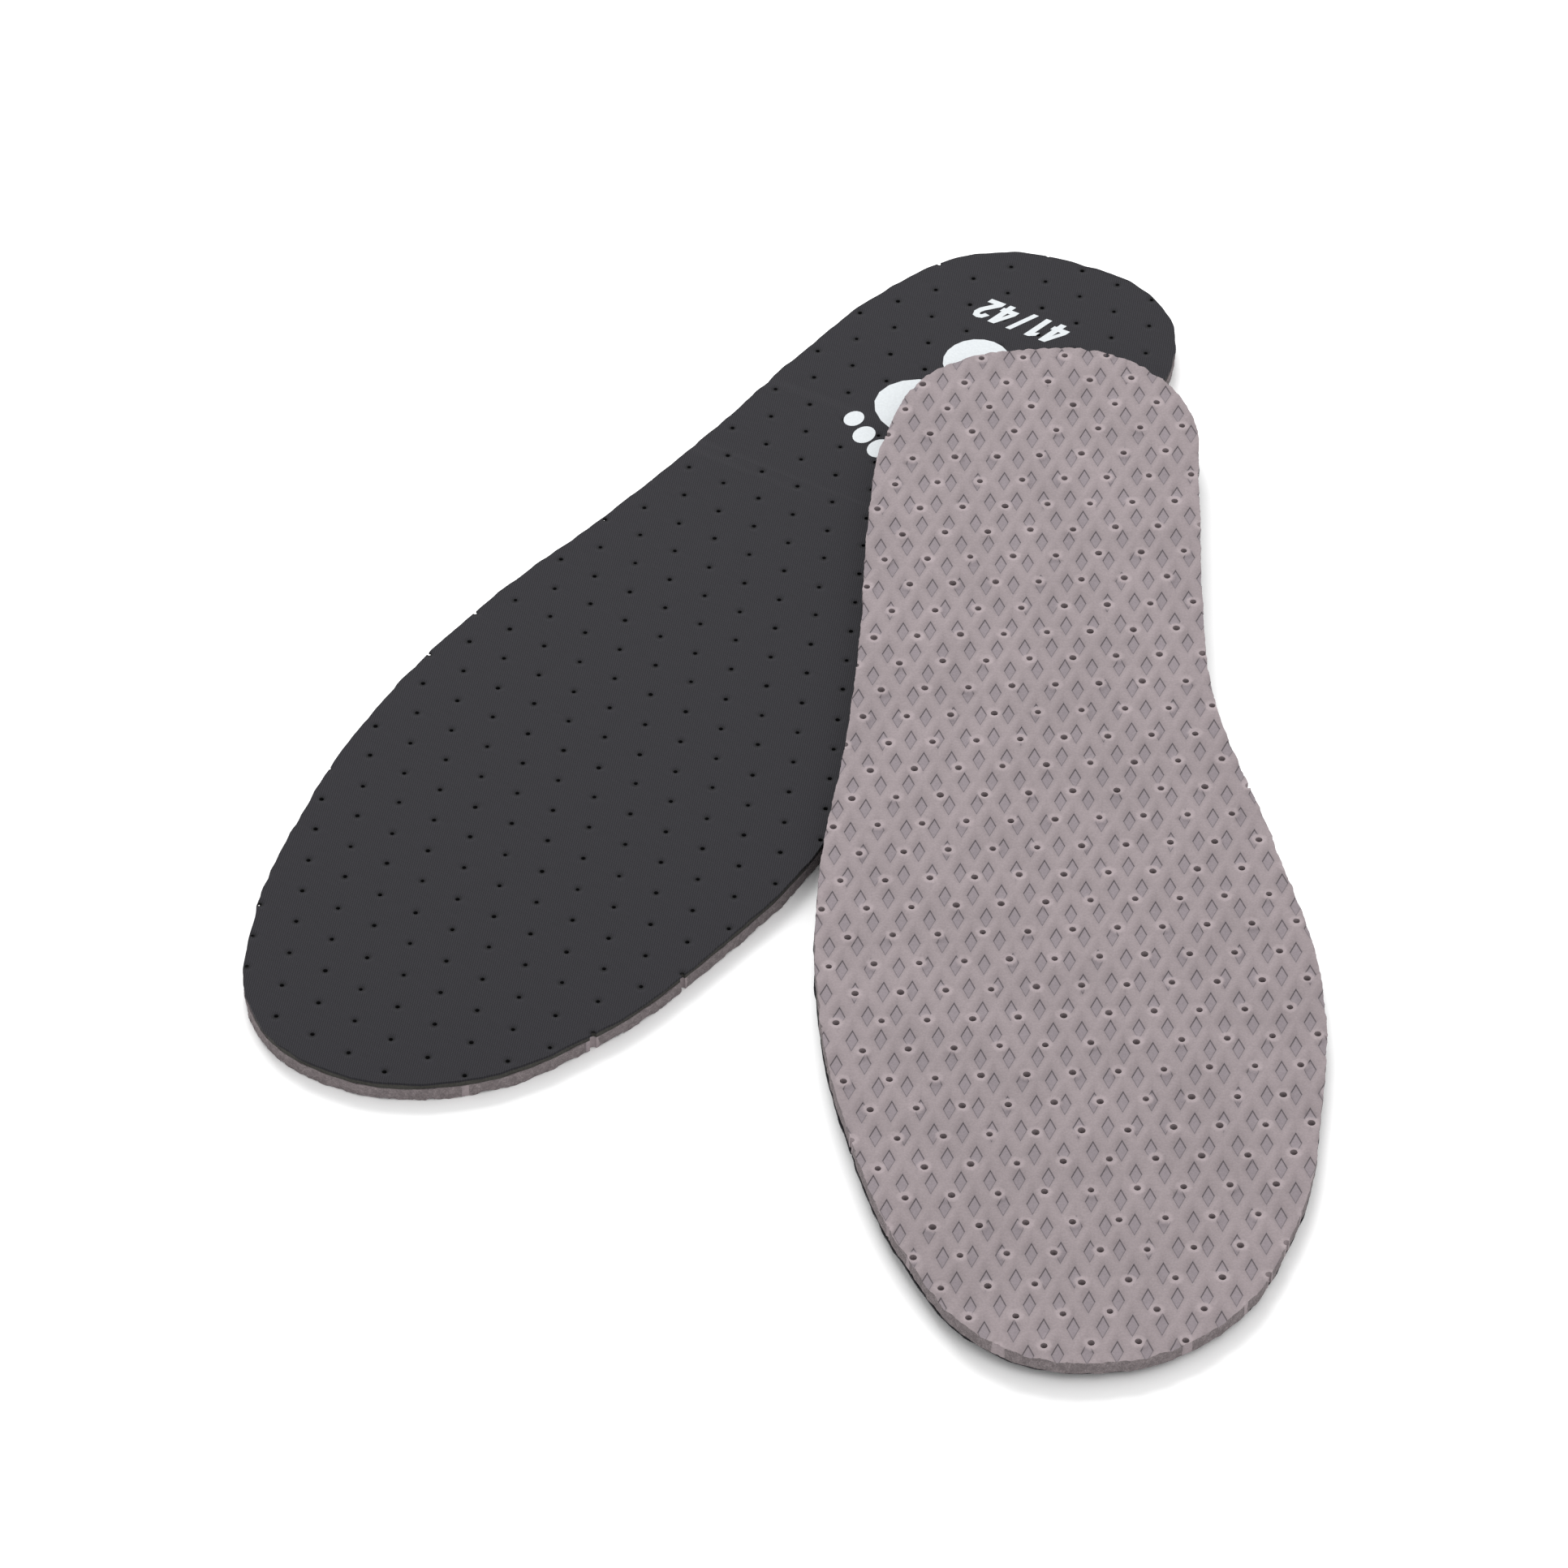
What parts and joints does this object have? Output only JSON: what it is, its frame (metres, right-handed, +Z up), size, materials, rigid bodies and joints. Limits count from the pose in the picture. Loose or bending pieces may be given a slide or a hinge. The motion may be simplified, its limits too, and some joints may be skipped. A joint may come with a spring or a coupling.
{
  "type": "cushioned insole",
  "caption": "Pair of flat perforated foam insoles with a woven fabric top cover, one lying fabric side up and the other foam side up with its heel across the first.",
  "frame": {"origin": "middle of the pair's bounding box in plan, on the table the insoles lie on", "axes": "+Z up from the table, +X to the right and +Y away from the viewer, with both toe ends towards -Y"},
  "size_m": [0.1958, 0.31, 0.0106],
  "materials": {
    "foam": "matte mauve-grey foam",
    "backing": "matte dark foam",
    "cover": "fine matte woven fabric",
    "print": "matte white ink"
  },
  "bodies": {
    "right_rear": {"right_foam_rear": "foam", "right_backing_rear": "backing", "right_cover_rear": "cover", "right_size_1": "print", "right_size_2": "print", "right_size_3": "print", "right_size_4": "print", "right_size_5": "print", "right_emblem_heel": "print", "right_emblem_ball": "print", "right_emblem_toe1": "print", "right_emblem_toe2": "print", "right_emblem_toe3": "print", "right_emblem_toe4": "print", "right_emblem_toe5": "print"},
    "right_toe": {"right_foam_toe": "foam", "right_backing_toe": "backing", "right_cover_toe": "cover"},
    "left_rear": {"left_foam_rear": "foam", "left_backing_rear": "backing", "left_cover_rear": "cover", "left_size_1": "print", "left_size_2": "print", "left_size_3": "print", "left_size_4": "print", "left_size_5": "print", "left_emblem_heel": "print", "left_emblem_ball": "print", "left_emblem_toe1": "print", "left_emblem_toe2": "print", "left_emblem_toe3": "print", "left_emblem_toe4": "print", "left_emblem_toe5": "print"},
    "left_toe": {"left_foam_toe": "foam", "left_backing_toe": "backing", "left_cover_toe": "cover"}
  },
  "joints": [
    {"name": "right_toe_flex", "type": "hinge", "parent": "right_rear", "child": "right_toe", "pos_m": [-0.03403, -0.00274, 0.0043], "axis": [-0.8607, 0.509, 0], "range_deg": [0, 45], "stiffness_Nm_per_rad": 0.02},
    {"name": "left_lift_off", "type": "slide", "parent": "right_rear", "child": "left_rear", "axis": [0, 0, 1], "range_m": [0, 0.06]},
    {"name": "left_toe_flex", "type": "hinge", "parent": "left_rear", "child": "left_toe", "pos_m": [0.05277, -0.0629, 0.00666], "axis": [-0.9986, -0.0404, 0.0342], "range_deg": [0, 45], "stiffness_Nm_per_rad": 0.02}
  ]
}
